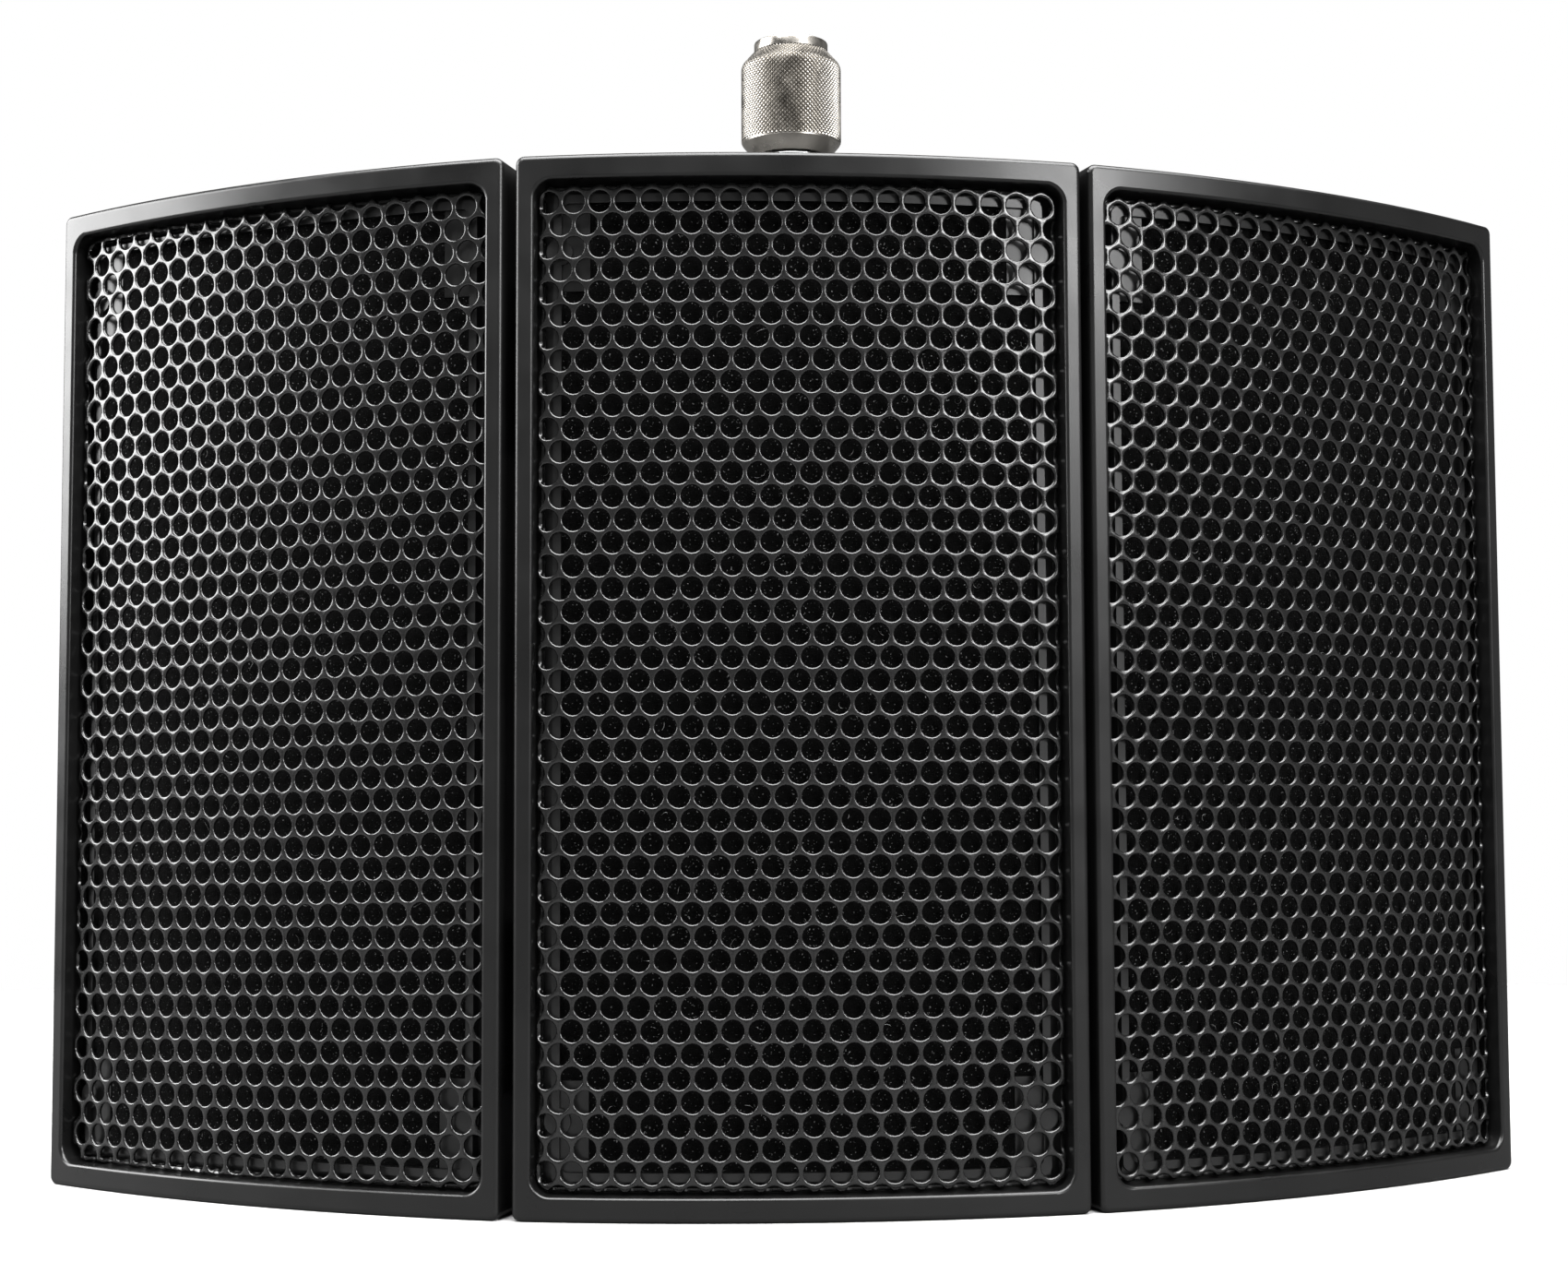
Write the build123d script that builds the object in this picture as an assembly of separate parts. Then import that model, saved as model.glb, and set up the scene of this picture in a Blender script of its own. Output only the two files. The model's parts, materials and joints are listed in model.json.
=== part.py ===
from build123d import *
from math import cos, degrees, hypot, sin, sqrt
import os

# Folding microphone shield: three curved panels joined by rear hinges, with a
# threaded swivel nut on a bracket. Millimetres, +Z up, +Y towards the microphone.
# Each panel is modelled about its own arc centre, with its face towards -Y and
# its bottom edge at Z = 0, and is then moved to its place on the hinges.

# ---- driving dimensions ----
panel_height = 239.0
panel_width = 130.7      # along the curved face, wall to wall
face_radius = 305.0      # bezel face, about the panel's arc centre
panel_depth = 21.3       # bezel face to the back of the rear frame
left_angle = 29.7        # turn from the centre panel to the left one, as it stands
right_angle = 27.3       # the same for the right one

# ---- radii of the layers, front to back ----
grille_radius = face_radius - 3.0
sheet = 0.8              # thickness of the perforated sheet
flange_radius = face_radius - 8.0    # back of the bezel lip and of the grille flange
ledge_radius = grille_radius - 1.6   # front of the retainer's ledge
felt_radius = grille_radius - 2.4    # front of the felt
foam_radius = felt_radius - 1.6      # front of the foam, behind the felt
retainer_radius = face_radius - 11.0  # back of the retainer
parting_radius = face_radius - 13.0  # where the bezel and the rear frame meet
rear_radius = face_radius - panel_depth
lip_radius = rear_radius + 2.5       # front of the rear frame's lip
foam_back_radius = rear_radius - 5.7

# ---- insets from the panel's outer edge: (sides, top and bottom) ----
opening_inset = (4.3, 5.6)
grille_gap = 0.5
grille_inset = (opening_inset[0] + grille_gap, opening_inset[1] + grille_gap)
wall_inset = (2.6, 2.6)
inner_inset = (2.9, 2.9)             # pieces that drop in between the walls
rib_inset = (5.0, 5.0)
ledge_outer_inset = (8.0, 8.4)
ledge_inner_inset = (9.9, 10.3)
lip_inset = (11.5, 11.5)
felt_inset = (10.4, 10.8)
foam_inset = (12.0, 12.0)
corner_pad = (16.5, 30.5)            # each corner's pads reach this far from the edges
pad_clearance = 0.5

# ---- rounding ----
corner_radius = 2.0
retainer_rounding = 2.0
edge_radius = 1.2
opening_edge = 0.8
rear_edge = 0.8
opening_radius = 4.3
foam_rounding = 3.0
bend_radius = 0.9

# ---- frame screws ----
boss_inset = (9.4, 21.5)             # boss centre from the side and from the end
boss_radius = 3.6
boss_gap = 0.1                       # flat boss end short of the curved retainer
retainer_boss_radius = 3.0
gusset_drop = 0.8                    # corner gussets below the ledge
screw_radius = 1.5
screw_clearance = 0.1
screw_head_clearance = 0.2
screw_end = flange_radius + 1.5      # tip of the screw
pilot_radius = screw_end + 0.5       # end of the hole it is driven into
screw_head_radius = 2.8
screw_head_height = 1.8
screw_head_seat = 2.0

# ---- hinges ----
pivot_radius = 281.2
pivot_offset = 0.42                  # pivot outside the panel's wall, along the arc
hinge_length = 40.0
hinge_ends = 45.0                    # hinge centre from the panel's top or bottom
knuckle_count = 5
knuckle_radius = 2.2
knuckle_gap = 0.3
pin_radius = 1.25
pin_clearance = 0.05
leaf_thickness = 1.2
leaf_width = 10.5
hinge_pad_depth = 7.5
knuckle_room = 0.4                   # round the other side's knuckles
leaf_edge_turn = 0.001               # leaf ends this far short of the hinge axis
hinge_hole_floor = 0.8
hinge_screw_inset = 6.2
hinge_screw_spread = 13.0
hinge_screw_radius = 1.2
hinge_screw_head = 2.3
hinge_screw_length = 6.5
hinge_screw_play = 0.05

# ---- bracket and thread nut on the centre panel ----
nut_setback = 38.0                   # nut axis behind the centre panel's face
strap = 2.5
strap_width = 30.0
tongue_top = 6.2                     # above the top of the panel
tongue_overhang = 14.5               # tongue end beyond the nut axis
mount_pad = (44.0, 8.0)              # width and depth of the pad in the top rail
mount_pad_radius = rear_radius - 0.7  # flat seat, proud of the curved rail
bracket_screw_spread = 11.0
bracket_screw_drop = 6.0
bracket_screw_floor = 2.0            # material left past the screw's tip
bracket_foot_radius = 3.0
bracket_inner_bend = 1.0
bracket_foot = 1.0                   # leg's end above the inner edge of the top rail
tongue_end_flat = 1.0
washer_radius = 9.0
washer_thickness = 1.6
post_radius = 5.0
post_head_radius = 7.2
post_head_height = 3.0
post_clearance = 0.05
lock_nut_flats = 16.0
lock_nut_height = 5.0
nut_radius = 12.05
nut_bottom = 8.2                     # these heights are above the top of the panel
nut_bevel_top = 11.8
nut_knurl_top = 30.5
nut_ring_base = 34.0
nut_ring_top = 36.3
nut_ring_radius = 8.9
nut_foot_radius = 9.0
thread_radius = 7.5
thread_length = 15.5
undercut_radius = 7.9
web_top = 17.0
axial_gap = 0.4
post_foot = 1.0                      # post below the lock nut

half_turn = panel_width / 2 / face_radius
pivot_turn = half_turn + pivot_offset / pivot_radius
over = 1.0                           # how far a cutter runs past what it cuts
tolerance = 0.01                     # for picking faces and edges by where they are


def on_arc(radius, turn, height=0.0):
    """The point at a radius and a turn (radians) from the panel's middle."""
    return Vector(radius * sin(turn), -radius * cos(turn), height)


def radial(radius, turn, height):
    """The place there whose Z points out through the panel's face."""
    outward = (sin(turn), -cos(turn), 0)
    tangent = (cos(turn), sin(turn), 0)
    return Plane(on_arc(radius, turn, height), x_dir=tangent, z_dir=outward).location


def turn_at(side_inset):
    """The turn that lies this far in from the panel's side."""
    return half_turn - side_inset / face_radius


def curved_block(inner, outer, turn_from, turn_to, low, high):
    """A block between two radii, two turns and two heights."""
    middle = (turn_from + turn_to) / 2
    outer_arc = ThreePointArc(
        on_arc(outer, turn_from), on_arc(outer, middle), on_arc(outer, turn_to)
    )
    inner_arc = ThreePointArc(
        on_arc(inner, turn_to), on_arc(inner, middle), on_arc(inner, turn_from)
    )
    ends = [
        Line(on_arc(outer, turn_to), on_arc(inner, turn_to)),
        Line(on_arc(inner, turn_from), on_arc(outer, turn_from)),
    ]
    outline = Wire([outer_arc, ends[0], inner_arc, ends[1]])
    return Pos(0, 0, low) * extrude(make_face(outline), high - low)


def slab(inner, outer, inset, rounding=0.0):
    """A curved block as large as the panel, less its insets, with rounded corners."""
    turn = turn_at(inset[0])
    block = curved_block(inner, outer, -turn, turn, inset[1], panel_height - inset[1])
    if rounding:
        lines = block.edges().filter_by(GeomType.LINE)
        block = fillet([e for e in lines if abs((e % 0.5).Z) < 0.5], rounding)
    return block


def ring(inner, outer, outer_inset, inner_inset, outer_rounding=0.0, inner_rounding=0.0):
    """A curved frame between two insets."""
    body = slab(inner, outer, outer_inset, outer_rounding)
    return body - slab(inner - over, outer + over, inner_inset, inner_rounding)


def rim_edges(block, radius):
    """The edges of a block's curved face at this radius."""
    faces = block.faces().filter_by(GeomType.CYLINDER)
    near = [f for f in faces if abs(hypot(f.center().X, f.center().Y) - radius) < tolerance]
    return near[0].outer_wire().edges()


def opening_edges(bezel):
    """The edges round the opening in a bezel's curved face."""
    faces = bezel.faces().filter_by(GeomType.CYLINDER)
    front = max(faces, key=lambda f: len(f.inner_wires()) * f.area)
    return front.inner_wires()[0].edges()


def corners(inset):
    """The turn and height of each corner point, this far in from the edges."""
    turn = turn_at(inset[0])
    heights = (inset[1], panel_height - inset[1])
    return [(side * turn, height) for side in (-1, 1) for height in heights]


def corner_blocks(inner, outer, start, size):
    """A block in each corner, between two insets."""
    low_turn = turn_at(size[0])
    high_turn = turn_at(start[0])
    blocks = []
    for side in (-1, 1):
        turns = sorted((side * low_turn, side * high_turn))
        bottom = (start[1], size[1])
        top = (panel_height - size[1], panel_height - start[1])
        for low, high in (bottom, top):
            blocks.append(curved_block(inner, outer, *turns, low, high))
    return blocks


def radial_cylinders(places, radius, start, end):
    """A cylinder along the radius at each place, between two radii."""
    middle = (start + end) / 2
    return [
        radial(middle, turn, height) * Cylinder(radius, end - start)
        for turn, height in places
    ]


# ---- the pieces of one panel ----
def make_bezel():
    """Moulded front casing: a lip round the grille on a thinner side wall."""
    body = slab(parting_radius, face_radius, (0, 0), corner_radius)
    body = fillet(rim_edges(body, face_radius), edge_radius)
    body -= slab(flange_radius - over, face_radius + over, opening_inset, opening_radius)
    body -= slab(parting_radius - over, flange_radius, wall_inset, corner_radius)
    return fillet(opening_edges(body), opening_edge)


def make_grille():
    """Curved sheet with its four edges folded back as a flange."""
    body = slab(flange_radius, grille_radius, grille_inset, opening_radius - grille_gap)
    body = fillet(rim_edges(body, grille_radius), bend_radius)
    inside = (grille_inset[0] + sheet, grille_inset[1] + sheet)
    return body - slab(
        flange_radius - over, grille_radius - sheet, inside, opening_radius - grille_gap - sheet
    )


def make_retainer():
    """Ledge ring behind the grille, with a screw boss in each corner."""
    rounding = retainer_rounding
    body = ring(
        retainer_radius, flange_radius, inner_inset, ledge_inner_inset, rounding, rounding
    )
    body += ring(
        flange_radius, ledge_radius, ledge_outer_inset, ledge_inner_inset, rounding, rounding
    )
    gusset_radius = ledge_radius - gusset_drop
    body += corner_blocks(retainer_radius, gusset_radius, ledge_outer_inset, corner_pad)
    places = corners(boss_inset)
    body += radial_cylinders(places, retainer_boss_radius, retainer_radius, ledge_radius)
    return body - radial_cylinders(places, screw_radius, retainer_radius - over, pilot_radius)


def notched(body):
    """A felt or foam layer, cut away at the corner pads."""
    notch = (corner_pad[0] + pad_clearance, corner_pad[1] + pad_clearance)
    return body - corner_blocks(foam_back_radius - over, felt_radius + over, (0, 0), notch)


def make_felt():
    """Sheet of black felt glued to the foam, in the retainer's window."""
    return notched(slab(foam_radius, felt_radius, felt_inset, foam_rounding))


def make_foam():
    """Absorbing foam between the felt and the open back."""
    return notched(slab(foam_back_radius, foam_radius, foam_inset, foam_rounding))


def hinge_heights():
    """The middle height of each hinge."""
    return (hinge_ends, panel_height - hinge_ends)


def hinge_screw_places(side):
    """The turn and height of each hinge screw on one side of a panel."""
    turn = side * turn_at(hinge_screw_inset)
    spread = (-hinge_screw_spread, hinge_screw_spread)
    return [(turn, height + step) for height in hinge_heights() for step in spread]


def make_rear_frame(hinged_sides, carries_bracket):
    """Moulded rear casing: wall, rear lip, corner bosses and fixing pads."""
    body = slab(rear_radius, parting_radius, (0, 0), corner_radius)
    body = fillet(rim_edges(body, rear_radius), rear_edge)
    body -= slab(rear_radius - over, parting_radius + over, rib_inset)
    body += ring(rear_radius, lip_radius, rib_inset, lip_inset, 0.0, foam_rounding)
    body += ring(parting_radius, retainer_radius, inner_inset, rib_inset, corner_radius)
    body += corner_blocks(rear_radius, lip_radius, wall_inset, corner_pad)
    places = corners(boss_inset)
    boss_end = retainer_radius - boss_gap
    body += radial_cylinders(places, boss_radius, rear_radius, boss_end)
    pad_radius = rear_radius + hinge_pad_depth
    hole_end = pad_radius - hinge_hole_floor
    for side in hinged_sides:
        turns = sorted((side * turn_at(wall_inset[0]), side * turn_at(lip_inset[0])))
        for height in hinge_heights():
            low = height - hinge_length / 2
            body += curved_block(rear_radius, pad_radius, *turns, low, low + hinge_length)
    if carries_bracket:
        body += mount_pad_block()
    body -= radial_cylinders(
        places, screw_radius + screw_clearance, rear_radius - over, boss_end + over
    )
    seat = rear_radius + screw_head_seat
    head_room = screw_head_radius + screw_head_clearance
    body -= radial_cylinders(places, head_room, rear_radius - over, seat)
    for side in hinged_sides:
        body -= radial_cylinders(
            hinge_screw_places(side), hinge_screw_radius, rear_radius - over, hole_end
        )
    if carries_bracket:
        body -= bracket_screw_shanks()
    return body


def make_frame_screws():
    """Pan-head screws that hold the retainer on the rear frame."""
    places = corners(boss_inset)
    seat = rear_radius + screw_head_seat
    heads = radial_cylinders(places, screw_head_radius, seat - screw_head_height, seat)
    shanks = radial_cylinders(places, screw_radius, seat, screw_end)
    return [head + shank for head, shank in zip(heads, shanks)]


# ---- hinges ----
def pivot(side):
    """Where the hinge axis on one side of a panel lies."""
    return on_arc(pivot_radius, side * pivot_turn)


def knuckle_spans(height, parity):
    """Low and high end of every other knuckle, starting from parity."""
    pitch = hinge_length / knuckle_count
    start = height - hinge_length / 2
    spans = []
    for index in range(parity, knuckle_count, 2):
        low = start + index * pitch + knuckle_gap / 2
        spans.append((low, low + pitch - knuckle_gap))
    return spans


def pivot_rod(side, radius, low, high):
    """A rod on the hinge axis between two heights."""
    return Pos(pivot(side)) * Pos(0, 0, (low + high) / 2) * Cylinder(radius, high - low)


def make_leaves(side, parity):
    """The two leaves on one side of a panel, each with its share of knuckles."""
    leaves = []
    for height in hinge_heights():
        low = height - hinge_length / 2
        high = height + hinge_length / 2
        turns = sorted((side * turn_at(leaf_width), side * (pivot_turn - leaf_edge_turn)))
        inner = rear_radius - leaf_thickness
        leaf = curved_block(inner, rear_radius, *turns, low, high)
        for span in knuckle_spans(height, 1 - parity):
            room = (span[0] - knuckle_gap, span[1] + knuckle_gap)
            leaf -= pivot_rod(side, knuckle_radius + knuckle_room, *room)
        for span in knuckle_spans(height, parity):
            leaf += pivot_rod(side, knuckle_radius, *span)
        leaf -= pivot_rod(side, pin_radius + pin_clearance, low - over, high + over)
        leaf -= hinge_screw_cutters(side)
        leaves.append(leaf)
    return leaves


def countersunk(radius, head, length):
    """A countersunk screw with its head's flat at Z = 0 and its point towards +Z."""
    profile = [(0, 0), (head, 0), (radius, leaf_thickness), (radius, length), (0, length)]
    return revolve(make_face(Plane.XZ * Polyline(*profile, close=True)), Axis.Z)


def hinge_screw_group(side, grow, length):
    """A countersunk screw, or the room for one, in each place on one side."""
    back = rear_radius - leaf_thickness
    screw = countersunk(hinge_screw_radius + grow, hinge_screw_head + grow, length)
    return [radial(back, *place) * screw for place in hinge_screw_places(side)]


def hinge_screw_cutters(side):
    return hinge_screw_group(side, hinge_screw_play, leaf_thickness + over)


def make_hinge_screws(side):
    return hinge_screw_group(side, 0.0, hinge_screw_length)


def make_pins(side):
    """The pin of each hinge on one side."""
    spans = [(h - hinge_length / 2, h + hinge_length / 2) for h in hinge_heights()]
    return [pivot_rod(side, pin_radius, low, high) for low, high in spans]


# ---- bracket, post and thread nut ----
nut_y = -(face_radius - nut_setback)
leg_front = -mount_pad_radius


def axis_rod(radius, low, high):
    """A rod on the nut's axis between two heights above the top of the panel."""
    return Pos(0, nut_y, panel_height + (low + high) / 2) * Cylinder(radius, high - low)


def axis_ring(outer, inner, low, high):
    """A ring on the nut's axis between two heights above the top of the panel."""
    return axis_rod(outer, low, high) - axis_rod(inner, low - over, high + over)


def mount_pad_block():
    """Solid pad in the top rail, with a flat seat for the bracket."""
    depth = mount_pad[1]
    height = lip_inset[1]
    middle = panel_height - height / 2
    return Pos(0, leg_front - depth / 2, middle) * Box(mount_pad[0], depth, height)


def bracket_screw_places():
    """The places of the bracket screws on the pad's flat seat."""
    height = panel_height - bracket_screw_drop
    return [Pos(side * bracket_screw_spread, leg_front, height) for side in (-1, 1)]


def bracket_screw_shanks():
    """Room for the bracket screws in the strap and the pad."""
    reach = mount_pad[1] - bracket_screw_floor / 2
    rod = Rot(90, 0, 0) * Cylinder(screw_radius, 2 * reach)
    return [place * rod for place in bracket_screw_places()]


def bend_edge(body, height):
    """The strap's edge at this height that lies nearest to the panel."""
    across = body.edges().filter_by(Axis.X)
    level = across.filter_by_position(Axis.Z, height - tolerance, height + tolerance)
    return level.sort_by(Axis.Y)[0]


def make_bracket():
    """Strap bent to a right angle: a leg on the rear frame and a tongue behind it."""
    back = leg_front + strap
    top = panel_height + tongue_top
    foot = panel_height - lip_inset[1] + bracket_foot
    tip = nut_y + tongue_overhang
    outline = [(leg_front, foot), (leg_front, top), (tip, top), (tip, top - strap)]
    outline += [(back, top - strap), (back, foot)]
    profile = make_face(Plane.YZ * Polyline(*outline, close=True))
    body = extrude(profile, strap_width / 2, both=True)
    body = fillet(bend_edge(body, top), strap + bracket_inner_bend)
    body = fillet(bend_edge(body, top - strap), bracket_inner_bend)
    tip_edges = body.edges().filter_by(Axis.Z).sort_by(Axis.Y)[-2:]
    body = fillet(tip_edges, strap_width / 2 - tongue_end_flat)
    foot_edges = body.edges().filter_by(Axis.Y).sort_by(Axis.Z)[:2]
    body = fillet(foot_edges, bracket_foot_radius)
    body -= axis_rod(post_radius + screw_clearance, 0, tongue_top + over)
    return body - bracket_screw_shanks()


def make_bracket_screws():
    """Two pan-head screws through the bracket's leg."""
    head = Rot(90, 0, 0) * Cylinder(screw_head_radius, screw_head_height)
    head = Pos(0, strap + screw_head_height / 2, 0) * head
    length = mount_pad[1] - bracket_screw_floor + strap
    shank = Pos(0, strap - length / 2, 0) * Rot(90, 0, 0) * Cylinder(screw_radius, length)
    return [place * (head + shank) for place in bracket_screw_places()]


def make_washer():
    """Washer between the bracket and the swivel nut."""
    bore = post_radius + screw_clearance
    return axis_ring(washer_radius, bore, tongue_top, tongue_top + washer_thickness)


def make_lock_nut():
    """Hexagon nut under the bracket, on the post's foot."""
    top = tongue_top - strap
    hexagon = extrude(RegularPolygon(lock_nut_flats / sqrt(3), 6), lock_nut_height)
    hexagon = Pos(0, nut_y, panel_height + top - lock_nut_height) * hexagon
    return hexagon - axis_rod(post_radius, top - lock_nut_height - over, top + over)


def make_post():
    """Headed post that the thread nut turns on."""
    foot = tongue_top - strap - lock_nut_height - post_foot
    head_low = web_top + axial_gap
    shank = axis_rod(post_radius, foot, head_low)
    return shank + axis_rod(post_head_radius, head_low, head_low + post_head_height)


def make_nut():
    """Swivel nut: knurled body, turned ring on top, thread bore and a web for the post."""
    bore = post_radius + post_clearance
    thread_foot = nut_ring_top - thread_length
    profile = [
        (bore, nut_bottom), (nut_foot_radius, nut_bottom), (nut_radius, nut_bevel_top),
        (nut_radius, nut_knurl_top), (nut_ring_radius, nut_ring_base),
        (nut_ring_radius, nut_ring_top), (thread_radius, nut_ring_top),
        (thread_radius, thread_foot), (undercut_radius, thread_foot),
        (undercut_radius, web_top), (bore, web_top),
    ]
    body = revolve(make_face(Plane.XZ * Polyline(*profile, close=True)), Axis.Z)
    return Pos(0, nut_y, panel_height) * body


# ---- assembly ----
def pieces(made):
    """Every solid of one node, as a flat list."""
    items = made if isinstance(made, (list, tuple)) else [made]
    return [solid for item in items for solid in item.solids()]


def panel_place(side, angle):
    """Where a panel goes when it hangs on the centre panel's hinge on this side."""
    return Pos(pivot(side)) * Rot(0, 0, side * angle) * Pos(-pivot(-side))


def panel_nodes(name, hinged_sides, carries_bracket):
    """The seven nodes of one panel."""
    return {
        name + "_bezel": make_bezel(),
        name + "_grille": make_grille(),
        name + "_retainer": make_retainer(),
        name + "_felt": make_felt(),
        name + "_foam": make_foam(),
        name + "_rear_frame": make_rear_frame(hinged_sides, carries_bracket),
        name + "_frame_screws": make_frame_screws(),
    }


def assemble():
    """Every node's solids, with the wings in their places."""
    nodes = {}
    centre = panel_nodes("centre", (-1, 1), True)
    centre.update(
        mount_bracket=make_bracket(),
        bracket_screws=make_bracket_screws(),
        mount_washer=make_washer(),
        mount_lock_nut=make_lock_nut(),
        swivel_post=make_post(),
        swivel_nut=make_nut(),
    )
    for side, name in ((-1, "left"), (1, "right")):
        centre[name + "_hinge_fixed_leaves"] = make_leaves(side, 0)
        centre[name + "_hinge_fixed_screws"] = make_hinge_screws(side)
        centre[name + "_hinge_pins"] = make_pins(side)
    for name, made in centre.items():
        nodes[name] = pieces(made)
    for side, name, angle in ((-1, "left", left_angle), (1, "right", right_angle)):
        wing = panel_nodes(name, (-side,), False)
        wing[name + "_hinge_moving_leaves"] = make_leaves(-side, 1)
        wing[name + "_hinge_moving_screws"] = make_hinge_screws(-side)
        place = panel_place(side, angle)
        for node, made in wing.items():
            nodes[node] = [place * solid for solid in pieces(made)]
    return nodes


def main():
    """Writes each node with the assembly's bottom middle at the origin."""
    nodes = assemble()
    everything = [solid for solids in nodes.values() for solid in solids]
    box = Compound(everything).bounding_box()
    shift = Pos(-(box.min.X + box.max.X) / 2, -(box.min.Y + box.max.Y) / 2, 0)
    os.makedirs("parts", exist_ok=True)
    for name, solids in nodes.items():
        moved = [shift * solid for solid in solids]
        shape = moved[0] if len(moved) == 1 else Compound(moved)
        export_step(shape, "parts/" + name + ".step")
    print("nodes", len(nodes), "size", box.size)
    for side, name in ((-1, "left"), (1, "right")):
        print(name, "pivot", (shift * Pos(pivot(side))).position)
    print("arc centre", shift.position, "nut axis", (shift * Pos(0, nut_y, 0)).position)
    print("thread middle height", panel_height + nut_ring_top - thread_length / 2)
    print("one panel spans", degrees(2 * half_turn), "degrees of arc")


main()
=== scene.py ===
"""Looks of a folding microphone shield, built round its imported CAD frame. Metres, +Z up."""
import json
import math
import random

import bpy
import numpy as np
from mathutils import Matrix, Vector


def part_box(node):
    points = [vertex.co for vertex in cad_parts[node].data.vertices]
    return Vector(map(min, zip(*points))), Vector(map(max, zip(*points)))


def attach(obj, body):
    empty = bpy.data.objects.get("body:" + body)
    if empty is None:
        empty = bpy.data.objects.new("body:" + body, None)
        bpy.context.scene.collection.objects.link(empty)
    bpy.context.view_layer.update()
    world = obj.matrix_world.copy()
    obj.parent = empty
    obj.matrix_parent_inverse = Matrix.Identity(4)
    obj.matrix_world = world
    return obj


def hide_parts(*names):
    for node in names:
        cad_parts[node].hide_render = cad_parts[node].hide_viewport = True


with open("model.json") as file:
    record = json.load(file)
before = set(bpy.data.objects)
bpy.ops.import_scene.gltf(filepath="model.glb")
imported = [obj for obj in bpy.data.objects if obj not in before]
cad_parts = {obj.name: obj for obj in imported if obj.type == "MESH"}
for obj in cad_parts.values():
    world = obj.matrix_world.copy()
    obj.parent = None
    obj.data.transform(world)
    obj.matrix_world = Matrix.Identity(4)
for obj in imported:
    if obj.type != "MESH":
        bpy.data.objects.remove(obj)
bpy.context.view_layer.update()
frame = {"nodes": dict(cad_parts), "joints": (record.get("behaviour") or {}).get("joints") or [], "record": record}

MM = 0.001
PANELS = {"centre": 0, "left": -1, "right": 1}      # side of the centre panel each lies on
WING_ANGLE = {"left": math.radians(29.7), "right": math.radians(27.3)}

# ---- the panel, as the CAD model has it ----
PANEL_HEIGHT = 239.0 * MM
PANEL_WIDTH = 130.7 * MM            # along the face
FACE_RADIUS = 305.0 * MM
GRILLE_RADIUS = FACE_RADIUS - 3.0 * MM
FELT_RADIUS = GRILLE_RADIUS - 2.4 * MM
FOAM_RADIUS = FELT_RADIUS - 1.6 * MM
REAR_RADIUS = FACE_RADIUS - 21.3 * MM
PIVOT_RADIUS = 281.2 * MM
HALF_TURN = PANEL_WIDTH / 2 / FACE_RADIUS


# ---- places ----
def on_arc(radius, turn):
    """The point at a radius and a turn from a panel's middle, in the panel's own frame."""
    return Vector((radius * math.sin(turn), -radius * math.cos(turn), 0.0))


def joint_place(name):
    """A joint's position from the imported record."""
    joint = next(j for j in frame["joints"] if j["name"] == name)
    return Vector(joint["pos_m"])


PIVOTS = {-1: joint_place("left_fold"), 1: joint_place("right_fold")}
PIVOT_TURN = math.asin((PIVOTS[1].x - PIVOTS[-1].x) / 2 / PIVOT_RADIUS)
ARC_CENTRE = Vector((
    (PIVOTS[1].x + PIVOTS[-1].x) / 2,
    PIVOTS[1].y + PIVOT_RADIUS * math.cos(PIVOT_TURN),
    0.0,
))


def panel_place(name):
    """The matrix from a panel's own frame, with its arc centre at the origin, to the row frame."""
    side = PANELS[name]
    if side == 0:
        return Matrix.Translation(ARC_CENTRE)
    hinge = ARC_CENTRE + on_arc(PIVOT_RADIUS, side * PIVOT_TURN)
    turn = Matrix.Rotation(side * WING_ANGLE[name], 4, "Z")
    back = Matrix.Translation(-on_arc(PIVOT_RADIUS, -side * PIVOT_TURN))
    return Matrix.Translation(hinge) @ turn @ back


def body_of_panel(name):
    """The name of the body that a panel belongs to."""
    return name + "_panel"


def turn_at(inset):
    """The turn that lies this far in from a panel's side."""
    return HALF_TURN - inset / FACE_RADIUS


def wrap(u, v, radius, sheet_radius):
    """Flat places on a sheet, bent to an arc. u runs right from the middle, v is a height."""
    turn = u / sheet_radius
    return np.stack([radius * np.sin(turn), -radius * np.cos(turn), v + 0 * turn], axis=-1)


# ---- meshes ----
def make_piece(name, vertices, faces, material, sharp=40.0):
    """A smooth-shaded object, with edges sharper than this many degrees left crisp."""
    mesh = bpy.data.meshes.new(name)
    mesh.from_pydata([tuple(v) for v in vertices], [], [tuple(f) for f in faces])
    mesh.validate()
    mesh.polygons.foreach_set("use_smooth", [True] * len(mesh.polygons))
    mesh.set_sharp_from_angle(angle=math.radians(sharp))
    mesh.materials.append(material)
    piece = bpy.data.objects.new(name, mesh)
    bpy.context.scene.collection.objects.link(piece)
    return piece


def placed(points, matrix):
    """An array of points, moved by a matrix."""
    matrix = np.array(matrix)
    return np.asarray(points) @ matrix[:3, :3].T + matrix[:3, 3]


class Parts:
    """Vertices and faces gathered from several closed shapes into one piece."""

    def __init__(self):
        self.vertices = []
        self.faces = []

    def add(self, vertices, faces):
        start = len(self.vertices)
        self.vertices.extend(vertices)
        self.faces.extend([start + i for i in face] for face in faces)


def loft(rings, close_start=False, close_end=False):
    """Quads between rings of equally many points, with optional caps."""
    count = len(rings[0])
    faces = []
    for k in range(len(rings) - 1):
        low = k * count
        for i in range(count):
            j = (i + 1) % count
            faces.append([low + i, low + j, low + count + j, low + count + i])
    if close_start:
        faces.append(list(range(count))[::-1])
    if close_end:
        last = (len(rings) - 1) * count
        faces.append([last + i for i in range(count)])
    return [p for ring in rings for p in ring], faces


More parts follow.
